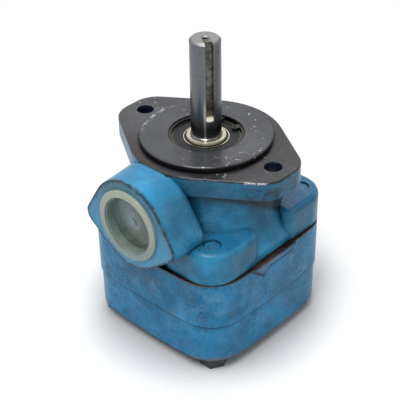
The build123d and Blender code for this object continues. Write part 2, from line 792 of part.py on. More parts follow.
with BuildPart() as plate_o_ring:
    section = (plate_groove_depth + plate_clearance) / 2 - seal_play
    with BuildSketch(Plane.XZ):
        with Locations((groove_radius + seal_play + section, groove_bottom + seal_play + section)):
            Circle(section)
    revolve(axis=Axis.Z)
save(plate_o_ring.part, "plate_o_ring")

with BuildPart() as plate_backup_ring:
    with BuildSketch(Plane.XY.offset(groove_top - seal_play)):
        ring(plate_radius, groove_radius + seal_play)
    extrude(amount=-backup_width)
save(plate_backup_ring.part, "plate_backup_ring")

with BuildPart() as plate_spring:
    with BuildLine() as coil:
        rise = plate_back - chamber_bottom - 2 * spring_wire_radius - 2 * seal_play
        base = (0, 0, chamber_bottom + spring_wire_radius + seal_play)
        Helix(rise / spring_turns, rise, spring_radius, center=base)
    with BuildSketch(Plane(coil.line @ 0, z_dir=coil.line % 0)):
        Circle(spring_wire_radius)
    sweep()
save(plate_spring.part, "plate_spring")

# ================================================================ removable protective plug
with BuildPart() as inlet_plug:
    with BuildSketch(Plane.XZ.offset(inlet_face + plug_seat_gap)):
        with Locations((0, -inlet_depth)):
            Circle(plug_rim_radius)
    extrude(amount=plug_rim_thickness)
    fillet(inlet_plug.faces().filter_by(Axis.Y).sort_by(Axis.Y)[0].edges(), plug_rim_round)
    with BuildSketch(Plane.XZ.offset(inlet_face + plug_seat_gap)):
        with Locations((0, -inlet_depth)):
            Circle(plug_wall_radius)
    extrude(amount=-plug_depth)
    with BuildSketch(Plane.XZ.offset(inlet_face + plug_seat_gap + plug_rim_thickness)):
        with Locations((0, -inlet_depth)):
            Circle(plug_bore_radius)
    extrude(amount=plug_floor - plug_depth - plug_rim_thickness, mode=Mode.SUBTRACT)
    chamfer(
        inlet_plug.faces().filter_by(Axis.Y).sort_by(Axis.Y)[0].inner_wires().edges(),
        plug_mouth_chamfer,
    )
    with BuildSketch(Plane.XZ.offset(inlet_face + plug_seat_gap + plug_floor - plug_depth)):
        with Locations((0, -inlet_depth)):
            Circle(plug_nub_radius)
    extrude(amount=plug_nub_height)
save(inlet_plug.part, "inlet_plug")
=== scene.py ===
"""Looks of the hydraulic vane pump: materials, two small dressing pieces, studio light and the camera."""

import bpy
import math
from mathutils import Matrix, Vector
from mathutils.bvhtree import BVHTree


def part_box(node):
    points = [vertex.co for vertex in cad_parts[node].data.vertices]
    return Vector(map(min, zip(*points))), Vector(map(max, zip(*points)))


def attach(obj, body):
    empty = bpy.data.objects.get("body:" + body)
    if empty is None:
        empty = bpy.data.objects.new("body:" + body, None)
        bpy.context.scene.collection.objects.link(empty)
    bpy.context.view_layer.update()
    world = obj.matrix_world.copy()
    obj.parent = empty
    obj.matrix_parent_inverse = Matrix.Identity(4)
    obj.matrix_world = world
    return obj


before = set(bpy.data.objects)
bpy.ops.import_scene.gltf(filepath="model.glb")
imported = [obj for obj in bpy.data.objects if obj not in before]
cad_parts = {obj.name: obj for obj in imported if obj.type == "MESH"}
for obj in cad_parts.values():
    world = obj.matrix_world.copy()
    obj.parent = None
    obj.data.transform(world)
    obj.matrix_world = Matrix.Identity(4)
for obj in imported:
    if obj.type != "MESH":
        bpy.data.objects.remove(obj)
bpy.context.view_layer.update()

MM = 0.001

# places on the part that its finishes follow, in metres
JOINT_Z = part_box("cam_ring")[1][2]          # body to ring
RING_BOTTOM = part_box("cam_ring")[0][2]
COVER_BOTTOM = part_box("end_cover")[0][2]
FLOOR_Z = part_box("cover_bolts")[0][2]
SHAFT_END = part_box("drive_shaft")[1][2]
PILOT_R = 41.275 * MM
PILOT_TOP = 3.5 * MM
FLANGE_BOTTOM = -12.5 * MM
FLANGE_FRONT_Y = -48.2 * MM
FLANGE_HOLE_X = 53.2 * MM
LUG_TOP = -39.0 * MM
INLET_Z = -30.0 * MM
INLET_FACE_Y = -69.5 * MM
OUTLET_Z = -110.5 * MM

# directions round the shaft, from +X
KEYWAY_ANGLE = math.radians(-32.0)
# the shaft's brighter side; painted shade grows away from it
BRIGHT_SIDE = math.radians(-74.0)
# direction of the painted highlight up the shaft
HIGHLIGHT_SIDE = math.radians(-52.0)

# cast arrow on the ring's right side: (y, z) from its tip round its lower edge to its tail
ARROW_LOW = JOINT_Z - 8.6 * MM
ARROW_WAIST = JOINT_Z - 4.2 * MM
ARROW = [(-24.0 * MM, JOINT_Z), (-13.0 * MM, ARROW_LOW), (-8.5 * MM, ARROW_WAIST), (14.0 * MM, ARROW_WAIST),
         (18.0 * MM, JOINT_Z)]


# ------------------------------------------------------------------ node helpers
class Mat:
    """A node material: thin helpers that each add a node or two and return the output socket."""

    def __init__(self, name):
        self.mat = bpy.data.materials.new(name)
        self.mat.use_nodes = True
        self.nodes = self.mat.node_tree.nodes
        self.links = self.mat.node_tree.links
        self.nodes.clear()
        self.out = self.nodes.new("ShaderNodeOutputMaterial")
        self.bsdf = self.nodes.new("ShaderNodeBsdfPrincipled")
        self.links.new(self.bsdf.outputs[0], self.out.inputs[0])
        self.object = self.nodes.new("ShaderNodeTexCoord").outputs["Object"]
        self.normal = self.nodes.new("ShaderNodeNewGeometry").outputs["Normal"]

    @classmethod
    def reopen(cls, mat):
        """Wrap a material made here earlier, to add to its node tree."""
        self = cls.__new__(cls)
        self.mat, self.nodes, self.links = mat, mat.node_tree.nodes, mat.node_tree.links
        self.bsdf = next(n for n in self.nodes if n.type == "BSDF_PRINCIPLED")
        self.object = next(n for n in self.nodes if n.type == "TEX_COORD").outputs["Object"]
        return self

    def linked(self, name):
        """The socket that feeds one of the shader's inputs so far."""
        return self.bsdf.inputs[name].links[0].from_socket

    def put(self, socket, value):
        """Link a socket, or set its value. A colour of three numbers gets its fourth."""
        if isinstance(value, bpy.types.NodeSocket):
            self.links.new(value, socket)
        elif isinstance(value, (tuple, list)) and len(value) == 3 and len(socket.default_value) == 4:
            socket.default_value = (*value, 1.0)
        else:
            socket.default_value = value

    def set(self, **values):
        """Set the shader's inputs, named with _ for each space, and return the material."""
        for name, value in values.items():
            self.put(self.bsdf.inputs[name.replace("_", " ")], value)
        return self.mat

    # sums
    def math(self, operation, a, b=0.0, clamp=False):
        node = self.nodes.new("ShaderNodeMath")
        node.operation = operation
        node.use_clamp = clamp
        self.put(node.inputs[0], a)
        self.put(node.inputs[1], b)
        return node.outputs[0]

    def plus(self, a, b):
        return self.math("ADD", a, b)

    def minus(self, a, b):
        return self.math("SUBTRACT", a, b)

    def times(self, first, *others):
        for other in others:
            first = self.math("MULTIPLY", first, other)
        return first

    def most(self, first, *others):
        for other in others:
            first = self.math("MAXIMUM", first, other)
        return first

    def shaken(self, value, field, amount):
        """The value moved by a share of a field, so that a border drawn from it is ragged."""
        return self.plus(value, self.times(field, amount))

    # places
    def split(self, vector):
        node = self.nodes.new("ShaderNodeSeparateXYZ")
        self.put(node.inputs[0], vector)
        return node.outputs

    def radius(self, x, y):
        return self.math("SQRT", self.plus(self.times(x, x), self.times(y, y)))

    def toward(self, x, y, angle):
        """Distance from the Z axis in one direction."""
        return self.plus(self.times(x, math.cos(angle)), self.times(y, math.sin(angle)))

    def from_segment(self, u, v, start, end):
        """Distance from the point (u, v) to the segment between two points."""
        along_u, along_v = end[0] - start[0], end[1] - start[1]
        off_u, off_v = self.minus(u, start[0]), self.minus(v, start[1])
        dot = self.plus(self.times(off_u, along_u), self.times(off_v, along_v))
        share = self.math("DIVIDE", dot, along_u ** 2 + along_v ** 2, clamp=True)
        return self.radius(self.minus(off_u, self.times(share, along_u)),
                           self.minus(off_v, self.times(share, along_v)))

    def stretch(self, scale, rotation=(0, 0, 0)):
        node = self.nodes.new("ShaderNodeMapping")
        self.put(node.inputs["Vector"], self.object)
        node.inputs["Scale"].default_value = scale
        node.inputs["Rotation"].default_value = rotation
        return node.outputs[0]

    # fields
    def noise(self, scale, detail=3.0, rough=0.55, vector=None):
        node = self.nodes.new("ShaderNodeTexNoise")
        self.put(node.inputs["Vector"], vector or self.object)
        node.inputs["Scale"].default_value = scale
        node.inputs["Detail"].default_value = detail
        node.inputs["Roughness"].default_value = rough
        return node.outputs["Fac"]

    def near_edge(self, distance, inside, only_local=True, samples=6):
        """0 on open surface, rising to 1 at convex edges (inside) or in hollows (outside)."""
        node = self.nodes.new("ShaderNodeAmbientOcclusion")
        node.samples = samples
        node.inside = inside
        node.only_local = only_local
        node.inputs["Distance"].default_value = distance
        return self.minus(1.0, node.outputs["AO"])

    # masks and mixes
    def span(self, value, low, high, to_low, to_high):
        """The value carried in a straight line from one range to another."""
        node = self.nodes.new("ShaderNodeMapRange")
        self.put(node.inputs["Value"], value)
        for name, number in (("From Min", low), ("From Max", high), ("To Min", to_low), ("To Max", to_high)):
            node.inputs[name].default_value = number
        return node.outputs["Result"]

    def ramp(self, value, low, high):
        """Smooth step from 0 at low to 1 at high. Low may be the larger."""
        node = self.nodes.new("ShaderNodeMapRange")
        node.interpolation_type = "SMOOTHSTEP"
        self.put(node.inputs["Value"], value)
        node.inputs["From Min"].default_value = low
        node.inputs["From Max"].default_value = high
        return node.outputs["Result"]

    def rise(self, place, low, high, datum=0.0):
        """The same step between two places given in millimetres from a datum."""
        return self.ramp(place, datum + low * MM, datum + high * MM)

    def mix(self, factor, a, b):
        """Colour a where the factor is 0, colour b where it is 1."""
        node = self.nodes.new("ShaderNodeMix")
        node.data_type = "RGBA"
        self.put(node.inputs[0], factor)
        self.put(node.inputs[6], a)
        self.put(node.inputs[7], b)
        return node.outputs[2]

    def blend(self, factor, a, b):
        """The same for plain numbers."""
        node = self.nodes.new("ShaderNodeMix")
        node.data_type = "FLOAT"
        self.put(node.inputs[0], factor)
        self.put(node.inputs[2], a)
        self.put(node.inputs[3], b)
        return node.outputs[0]

    def over(self, base, colour, *masks):
        """The base with a colour laid over it where all of the masks are 1."""
        return self.mix(self.times(*masks), base, colour)

    def bump(self, height, strength, distance):
        node = self.nodes.new("ShaderNodeBump")
        self.put(node.inputs["Height"], height)
        node.inputs["Strength"].default_value = strength
        node.inputs["Distance"].default_value = distance
        return node.outputs[0]


def srgb(r, g, b):
    """Linear colour from display values 0 to 255."""
    return tuple((v / 255 / 12.92) if v < 11 else ((v / 255 + 0.055) / 1.055) ** 2.4 for v in (r, g, b))


# ------------------------------------------------------------------ blue paint
STACK_BLUES = (srgb(26, 92, 128), srgb(46, 124, 168))
BLUES = {"body": (srgb(16, 84, 114), srgb(38, 128, 168)), "ring": STACK_BLUES, "cover": STACK_BLUES}


def blue_paint(name, part):
    """Worn blue enamel over iron, for the body, the ring or the cover."""
    m = Mat(name)
    x, y, z = m.split(m.object)
    _, ny, nz = m.split(m.normal)
    cloud = m.noise(30, 3, 0.6)
    mottle = m.noise(170, 4, 0.65)
    fine = m.noise(1100, 2, 0.6)
    base = m.mix(m.ramp(cloud, 0.34, 0.68), *BLUES[part])
    base = m.over(base, srgb(24, 78, 108), m.ramp(mottle, 0.50, 0.74), 0.50)
    if part == "body":
        base = body_tones(m, base, x, y, z, nz)
    # scuffed, greyed paint in blotches: most of it on the ring, less on the cover, little on the body
    above_joint = m.rise(z, -2, 2, JOINT_Z)
    wear = m.blend(above_joint, m.span(z, RING_BOTTOM - 4 * MM, RING_BOTTOM, 0.52, 0.85), 0.30)
    blotch = m.times(m.ramp(m.noise(48, 5, 0.75), 0.50, 0.66), m.ramp(m.noise(520, 3, 0.65), 0.36, 0.60))
    base = m.over(base, srgb(74, 90, 112), blotch, wear)
    base = m.over(base, srgb(84, 130, 158), m.ramp(m.noise(88, 4, 0.7), 0.48, 0.68), wear, 0.55)
    # fine dark specks in patches
    specks = m.times(m.ramp(m.noise(900, 2, 0.5), 0.60, 0.66), m.ramp(m.noise(34, 2, 0.5), 0.40, 0.58))
    base = m.over(base, srgb(20, 40, 58), specks, m.blend(above_joint, 0.80, 0.20))
    # chipped edges, painted shade in hollows, dark seams
    ragged = m.times(m.minus(m.noise(300, 4, 0.7), 0.5), 0.9)
    chip = m.ramp(m.plus(m.near_edge(1.4 * MM, inside=True), ragged), 0.48, 0.60)
    base = m.over(base, m.mix(fine, srgb(30, 26, 26), srgb(62, 50, 44)), chip, 0.90)
    # painted shade: darker paint in hollows
    hollow_shade = m.ramp(m.shaken(m.near_edge(12 * MM, inside=False), ragged, 0.25), 0.22, 0.70)
    base = m.over(base, srgb(10, 26, 38), hollow_shade, 0.70)
    seam = m.most(seam_line(m, z, JOINT_Z), seam_line(m, z, RING_BOTTOM))
    base = m.over(base, srgb(24, 22, 24), seam, 0.85)
    # orange peel and casting skin
    peel = m.plus(m.times(fine, 0.20), m.times(m.noise(460, 2, 0.55), 0.80))
    height = m.plus(m.times(peel, 0.6), m.times(mottle, 0.4))
    rough = m.span(mottle, 0.3, 0.7, 0.26, 0.42)
    metal, bump_depth, coat = 0.0, 1.3 * MM, 0.05
    if part == "cover":
        # brown wear along the bottom edge of the front corner
        corner = m.times(m.rise(x, 30, 46), m.rise(y, -30, -46))
        low = m.rise(m.shaken(z, ragged, 0.010), 5, 2, COVER_BOTTOM)
        base = m.over(base, srgb(104, 88, 82), corner, low, 0.75)
    if part == "ring":
        base = ring_dirt_and_shade(m, base, (x, y, z), nz, mottle, ragged)
    if part == "body":
        bump_depth, coat = 2.0 * MM, 0.26
        base, rough, height, metal = bare_iron(m, (x, y, z), nz, base, rough, height, ragged, cloud)
        base = body_shade_and_wear(m, base, (x, y, z), ny, ragged)
    return m.set(Base_Color=base, Roughness=rough, Metallic=metal, Normal=m.bump(height, 0.70, bump_depth),
                 Specular_IOR_Level=0.10, Coat_Weight=coat, Coat_Roughness=0.17)


def seam_line(m, z, level):
    """1 in the fine dark line where two housing pieces meet."""
    return m.times(m.rise(z, 0.8, 0.3, level), m.rise(z, -0.8, -0.3, level))


def body_tones(m, base, x, y, z, nz):
    """Painted light on faces that look up, painted shade with a dark stain on the flange's edge, and painted shade
    on the lugs' flat top faces.
    """
    # painted light: lighter paint where the body faces up
    base = m.over(base, srgb(58, 158, 208), m.ramp(nz, 0.45, 0.95), 0.35)
    # the flange's edge: painted shade in patches, growing towards its right ear, painted shade on its far left, and
    # a dark brown stain low at the right corner
    edge = m.times(m.rise(z, -1.2, -0.3, FLANGE_BOTTOM), m.ramp(m.math("ABSOLUTE", nz), 0.75, 0.45),
                   m.rise(y, -1.8, -0.4, FLANGE_FRONT_Y))
    base = m.over(base, srgb(28, 52, 68), edge, m.ramp(m.noise(60, 4, 0.65), 0.34, 0.60), m.rise(x, 2, 30), 0.60)
    stain = m.times(m.ramp(m.noise(190, 4, 0.7), 0.44, 0.60), m.rise(x, 40, 58), m.rise(z, -2, -7))
    base = m.over(base, srgb(34, 30, 30), edge, stain, 0.70)
    # painted shade on the flange's far left edge
    base = m.over(base, srgb(20, 62, 88), edge, m.rise(x, -30, -48), 0.55)
    # painted shade on the lugs' flat top faces, stronger to the right
    lug_top_shade = m.times(m.ramp(nz, 0.60, 0.92), m.rise(z, -7.0, -3.0, LUG_TOP), m.rise(z, 3.0, 1.5, LUG_TOP))
    return m.over(base, srgb(16, 72, 108), lug_top_shade, m.span(x, 0.0, 45 * MM, 0.28, 0.55))


def ring_dirt_and_shade(m, base, place, nz, mottle, ragged):
    """Grime and a painted shadow beneath the cast arrow's lower edge, and rust on the ring's top ledge, with painted
    shade making it black beside the body.
    """
    x, y, z = place
    # painted shadow with grime, just beneath the arrow's lower edge
    dirt_and_shading = 0.0
    lowered = m.plus(z, 1.0 * MM)
    for start, end in zip(ARROW, ARROW[1:]):
        dirt_and_shading = m.most(dirt_and_shading, m.rise(m.from_segment(y, lowered, start, end), 1.3, 0.6))
    base = m.over(base, srgb(8, 32, 54), dirt_and_shading, m.rise(x, 50, 55), m.ramp(mottle, 0.22, 0.42), 0.85)
    ledge = m.ramp(nz, 0.5, 0.8)
    lip = m.rise(m.shaken(z, ragged, 0.0022), -2.2, -0.4, JOINT_Z)
    rust = m.mix(m.ramp(m.noise(160, 5, 0.7), 0.35, 0.65), srgb(30, 25, 23), srgb(90, 69, 54))
    # painted shade: the rust goes black beside the body
    shade_beside_body = m.near_edge(9 * MM, inside=False, only_local=False)
    rust = m.over(rust, srgb(10, 9, 9), m.ramp(shade_beside_body, 0.16, 0.46))
    return m.mix(m.most(ledge, m.times(lip, 0.8)), base, rust)


def bare_iron(m, place, nz, base, rough, height, ragged, cloud):
    """The body's machined faces: mounting face, pilot and bearing bore. Returns colour, roughness, height, metal."""
    x, y, z = place
    from_shaft = m.radius(x, y)
    flat = m.times(m.ramp(nz, 0.55, 0.80), m.rise(z, -1.6, -1.2))
    rim = m.rise(m.shaken(z, ragged, 0.0042), -1.8, -0.6)
    flange = m.times(m.most(flat, rim), m.rise(y, -0.2, 0.4, FLANGE_FRONT_Y))
    pilot = m.times(m.rise(z, 0.0, 0.2), m.rise(from_shaft, 45.0, 44.0))
    bore = m.times(m.rise(from_shaft, 26.2, 25.6), m.rise(z, -30, -29))
    bare = m.most(flange, pilot, bore)
    turning = m.noise(1.0, 2, 0.5, vector=ring_coordinates(m, from_shaft, 2600))
    grey = m.mix(m.ramp(turning, 0.35, 0.65), srgb(60, 61, 65), srgb(72, 74, 79))
    grey = m.over(grey, srgb(46, 46, 49), m.ramp(m.noise(34, 4, 0.65), 0.42, 0.66), 0.55)
    # the flange top: a painted dark reflection to the right, a browner painted dark reflection to the front left,
    # and rust in spots
    outside = m.rise(from_shaft, 0.0, 1.0, PILOT_R)
    side = m.shaken(x, m.minus(m.noise(22, 3), 0.5), 0.050)
    grey = m.over(grey, srgb(24, 25, 28), outside, m.rise(side, -10, 30), 0.70)
    front = m.rise(m.shaken(y, ragged, 0.02), -18, -40)
    grey = m.over(grey, srgb(48, 38, 36), outside, front, m.rise(side, 18, -16), 0.75)
    grey = m.over(grey, srgb(62, 48, 44), m.ramp(m.noise(75, 4, 0.6), 0.50, 0.66), outside, 0.45)
    # scratches, pale nicks, and a pale band along the pilot's back left edge
    scratch_field = m.noise(1.0, 2, 0.5, vector=m.stretch((70, 2600, 1), (0, 0, 0.6)))
    scratch = m.times(m.ramp(scratch_field, 0.66, 0.72), m.ramp(m.noise(52, 2), 0.52, 0.60))
    nicks = m.times(m.ramp(m.noise(300, 2), 0.645, 0.68), m.ramp(m.noise(38, 2), 0.52, 0.60))
    pilot_edge = m.times(m.rise(from_shaft, -3.6, -1.4, PILOT_R), m.rise(z, -0.9, -0.6, PILOT_TOP))
    back_left = m.times(m.rise(x, -26, -32), m.rise(y, -28, -22), m.rise(y, 12, 6))
    pale_edge_band = m.times(pilot_edge, back_left, m.ramp(m.noise(230, 4, 0.7), 0.44, 0.60))
    grey = m.over(grey, srgb(168, 172, 176), m.most(scratch, nicks, pale_edge_band), 0.75)
    # painted shade at the base of the pilot, a dark flange edge, and one painted glint on that edge
    pilot_foot_shade = m.times(m.rise(from_shaft, 2.6, 0.9, PILOT_R), m.rise(z, -0.9, -1.7, PILOT_TOP))
    grey = m.over(grey, srgb(12, 12, 14), pilot_foot_shade, 0.90)
    grey = m.over(grey, srgb(30, 23, 21), m.rise(z, -0.2, -0.6), 0.80)
    # painted glint on the flange edge
    from_glint = m.radius(m.minus(x, 56.0 * MM), m.plus(y, 20.5 * MM))
    edge_glint = m.times(m.rise(m.shaken(from_glint, ragged, 0.010), 9, 5), m.rise(z, -0.1, -0.4),
                    m.ramp(m.noise(260, 3, 0.6), 0.42, 0.52))
    grey = m.over(grey, srgb(172, 172, 172), edge_glint, 0.8)
    # painted shade in the bearing well
    bearing_recess_shade = m.times(m.rise(from_shaft, 25.2, 24.6), m.rise(z, -0.1, -0.4, PILOT_TOP))
    grey = m.over(grey, srgb(14, 14, 15), bearing_recess_shade, 0.90)
    return (m.mix(bare, base, grey), m.blend(bare, rough, m.span(cloud, 0.3, 0.7, 0.30, 0.40)),
            m.blend(bare, height, m.times(turning, 0.25)), m.times(bare, 0.50))


def body_shade_and_wear(m, base, place, ny, ragged):
    """Painted shade in the bolt holes, a painted shadow beneath the flange's right ear, and the inlet's greyed and
    chipped face.
    """
    x, y, z = place
    # painted shade inside the flange's bolt holes
    from_hole = m.radius(m.minus(m.math("ABSOLUTE", x), FLANGE_HOLE_X), y)
    bolt_hole_shade = m.times(m.rise(from_hole, 7.2, 6.8), m.rise(z, -0.2, -1.2), m.rise(z, -1.3, -0.5, FLANGE_BOTTOM))
    base = m.over(base, srgb(12, 20, 38), bolt_hole_shade)
    # a painted shadow beneath the flange's right ear reaches down to a curve that falls towards the back
    reach = m.plus(m.plus(m.times(y, -0.62), m.times(y, y, -3.4)), -32.5 * MM)
    ear_shadow = m.rise(m.minus(m.shaken(z, ragged, 0.003), reach), -2.6, 2.2)
    on_neck = m.times(m.rise(z, 0.5, -0.3, FLANGE_BOTTOM), m.rise(m.radius(x, y), 51.0, 49.5))
    below_ear = m.times(m.rise(x, 22, 34), m.rise(y, 26, 16))
    base = m.over(base, srgb(6, 10, 18), ear_shadow, on_neck, below_ear, 0.85)
    # greyed overspray on the inlet's machined face, and black chips round its edge
    face = m.times(m.rise(y, 0.6, 0.1, INLET_FACE_Y), m.ramp(ny, -0.80, -0.95))
    tone = m.mix(m.rise(m.shaken(z, ragged, 0.02), -10, 22, INLET_Z), srgb(70, 132, 168), srgb(74, 106, 120))
    base = m.over(base, tone, face, 0.65)
    chips = m.ramp(m.shaken(m.near_edge(3.4 * MM, inside=True), ragged, 1.1), 0.20, 0.33)
    return m.over(base, srgb(24, 22, 24), m.rise(y, 3.4, 0.5, INLET_FACE_Y), chips, 0.95)


def ring_coordinates(m, radius, scale):
    """A vector that only changes with distance from the Z axis, for turning marks."""
    node = m.nodes.new("ShaderNodeCombineXYZ")
    m.put(node.inputs[0], m.times(radius, scale))
    return node.outputs[0]


# ------------------------------------------------------------------ other materials
def steel(name, low, high, rough, streaks=False, grime=0.25):
    """Machined steel with turning marks round Z and a little staining."""
    m = Mat(name)
    lines = m.noise(1.0, 2, 0.5, vector=m.stretch((0.001, 0.001, 2200)))
    stain = m.noise(120, 4, 0.65)
    base = m.mix(m.ramp(lines, 0.35, 0.65), low, high)
    if streaks:
        worn = m.ramp(m.noise(90, 4, 0.7, vector=m.stretch((1, 1, 0.35))), 0.50, 0.68)
        base = m.over(base, srgb(108, 98, 92), worn, 0.5)
    base = m.over(base, srgb(52, 46, 42), m.ramp(stain, 0.50, 0.75), grime)
    return m.set(Base_Color=base, Metallic=1.0, Roughness=m.span(stain, 0.3, 0.7, rough, rough + 0.12),
                 Normal=m.bump(lines, 0.08, 0.2 * MM))


def plain(name, low, high, rough, metallic=0.0, scale=300, bump=0.15, shine=0.5):
    """Two-tone mottled finish for small or hidden pieces."""
    m = Mat(name)
    field = m.noise(scale, 4, 0.6)
    return m.set(Base_Color=m.mix(m.ramp(field, 0.35, 0.68), low, high), Metallic=metallic,
                 Roughness=m.span(field, 0.3, 0.7, rough, rough + 0.12), Normal=m.bump(field, bump, 0.3 * MM),
                 Specular_IOR_Level=shine)


def shaft_material():
    """Ground shaft: bright turning, brown stains, painted shade on one side, a painted highlight up its lower part,
    and a matt, dirty keyway with a painted shadow and a painted reflection.
    """
    m = Mat.reopen(steel("shaft_steel", srgb(100, 104, 108), srgb(114, 118, 122), 0.20, streaks=True))
    x, y, z = m.split(m.object)
    from_axis = m.radius(x, y)
    divisor = m.most(from_axis, MM)
    on_wall = m.rise(from_axis, 8.5, 8.9)
    # painted shade, browned with tarnish, away from its brighter side; a little browner towards its lower end; calm
    # on its end
    toward_bright_side = m.ramp(m.math("DIVIDE", m.toward(x, y, BRIGHT_SIDE), divisor), 0.20, 0.95)
    shade_and_tarnish = m.mix(m.ramp(m.noise(420, 4, 0.7), 0.40, 0.66), srgb(88, 89, 90), srgb(70, 64, 58))
    base = m.over(m.linked("Base Color"), shade_and_tarnish, m.minus(1.0, toward_bright_side), on_wall, 0.75)
    base = m.over(base, srgb(80, 74, 64), m.rise(z, 24, 8), 0.15)
    base = m.over(base, srgb(128, 129, 128), m.rise(z, -1.3, -0.3, SHAFT_END))
    rough = m.most(m.linked("Roughness"), m.times(m.rise(z, -1.8, -1.1, SHAFT_END), 0.52))
    # a painted highlight: a narrow bright line up its lower part
    highlight_streak = m.ramp(m.math("DIVIDE", m.toward(x, y, HIGHLIGHT_SIDE), divisor), 0.9950, 0.9992)
    base = m.over(base, srgb(226, 224, 216), highlight_streak, m.rise(z, 34, 14), on_wall, 0.85)
    # the keyway: mottled floor, a painted shadow along one side, and a painted reflection on the run-out at its
    # lower end
    across = m.toward(x, y, KEYWAY_ANGLE + math.pi / 2)
    inside = m.times(m.rise(m.math("ABSOLUTE", across), 2.40, 2.35), m.rise(m.toward(x, y, KEYWAY_ANGLE), 0, 2),
                     m.rise(from_axis, 9.25, 9.05), m.rise(z, 12, 13))
    dirt_and_shading = m.mix(m.ramp(m.noise(240, 4, 0.7), 0.40, 0.62), srgb(72, 68, 64), srgb(114, 109, 102))
    dirt_and_shading = m.over(dirt_and_shading, srgb(26, 24, 22), m.rise(across, -1.25, -1.75), 0.85)
    dirt_and_shading = m.over(dirt_and_shading, srgb(78, 73, 62), m.rise(z, 30, 22))
    dirt_and_shading = m.over(dirt_and_shading, srgb(220, 214, 196), m.rise(z, 19.2, 17.2))
    return m.set(Base_Color=m.mix(inside, base, dirt_and_shading), Roughness=rough)


def race_material():
    """Inner race: bright at its outer rim, with painted shade beside the snap ring."""
    m = Mat.reopen(steel("race_bright", srgb(184, 176, 156), srgb(214, 206, 186), 0.18, grime=0.15))
    x, y, _ = m.split(m.object)
    # painted shade on the race's face beside the snap ring
    shade_by_snap_ring = m.rise(m.radius(x, y), 14.0, 13.8)
    return m.set(Base_Color=m.over(m.linked("Base Color"), srgb(40, 38, 35), shade_by_snap_ring))


def screw_material():
    """Housing screws: black heads below, painted-over tips on the lugs."""
    m = Mat("screw_dark")
    _, _, z = m.split(m.object)
    field = m.noise(500, 4, 0.6)
    dark = m.mix(m.ramp(field, 0.35, 0.68), srgb(34, 36, 38), srgb(54, 58, 62))
    paint = m.mix(m.ramp(field, 0.40, 0.70), srgb(34, 104, 146), srgb(40, 66, 82))
    return m.set(Base_Color=m.mix(m.rise(z, -60, -58), dark, paint), Roughness=m.span(field, 0.3, 0.7, 0.40, 0.52),
                 Normal=m.bump(field, 0.25, 0.3 * MM))


def plug_material():
    """Milky, glossy polythene cup: pale rim with painted shade low down, smoky inside with painted shade, fine
    moulding circles with painted highlights.
    """
    m = Mat("plug_polythene")
    x, y, z = m.split(m.object)
    up = m.minus(z, INLET_Z)
    radius = m.radius(x, up)
    cloud = m.noise(60, 3, 0.5)
    # floor, with painted shade towards its lower right and a lighter middle, then wall, then the step inside the rim
    shade_drift = m.shaken(m.minus(up, m.times(x, 0.6)), m.minus(cloud, 0.5), 0.020)
    inner = m.mix(m.rise(shade_drift, -12, 14), srgb(58, 68, 57), srgb(82, 99, 104))
    inner = m.over(inner, srgb(106, 124, 130), m.rise(radius, 8.5, 1.0))
    wall = m.mix(m.ramp(cloud, 0.35, 0.7), srgb(56, 68, 60), srgb(84, 98, 90))
    inner = m.over(inner, wall, m.rise(y, 4.0, 2.5, INLET_FACE_Y))
    step = m.times(m.rise(radius, 17.6, 17.9), m.rise(radius, 18.4, 18.1))
    inner = m.over(inner, srgb(122, 136, 128), step, 0.60)
    # fine moulding circles, painted as bright highlights
    ripple = m.math("SINE", m.times(m.shaken(radius, cloud, 0.0004), 2 * math.pi / (1.3 * MM)))
    ring_highlights = m.times(m.ramp(ripple, 0.86, 0.99), m.rise(radius, 12, 15), m.rise(radius, 17.6, 17.2))
    inner = m.over(inner, srgb(176, 188, 182), ring_highlights, 0.45)
    # the rim, with painted shade on its lower side
    rim = m.mix(m.rise(m.shaken(up, cloud, 0.01), -15, 24), srgb(104, 120, 118), srgb(138, 148, 132))
    waves = m.math("SINE", m.times(radius, 2 * math.pi / (1.6 * MM)))
    height = m.times(waves, m.rise(radius, 17, 15))
    return m.set(Base_Color=m.mix(m.rise(radius, 18.7, 19.2), inner, rim),
                 Roughness=m.span(cloud, 0.3, 0.7, 0.20, 0.32), Normal=m.bump(height, 0.30, 0.2 * MM),
                 Specular_IOR_Level=0.3, Subsurface_Weight=0.25, Subsurface_Radius=(0.004, 0.005, 0.0045),
                 Subsurface_Scale=0.5, Coat_Weight=0.5, Coat_Roughness=0.06)


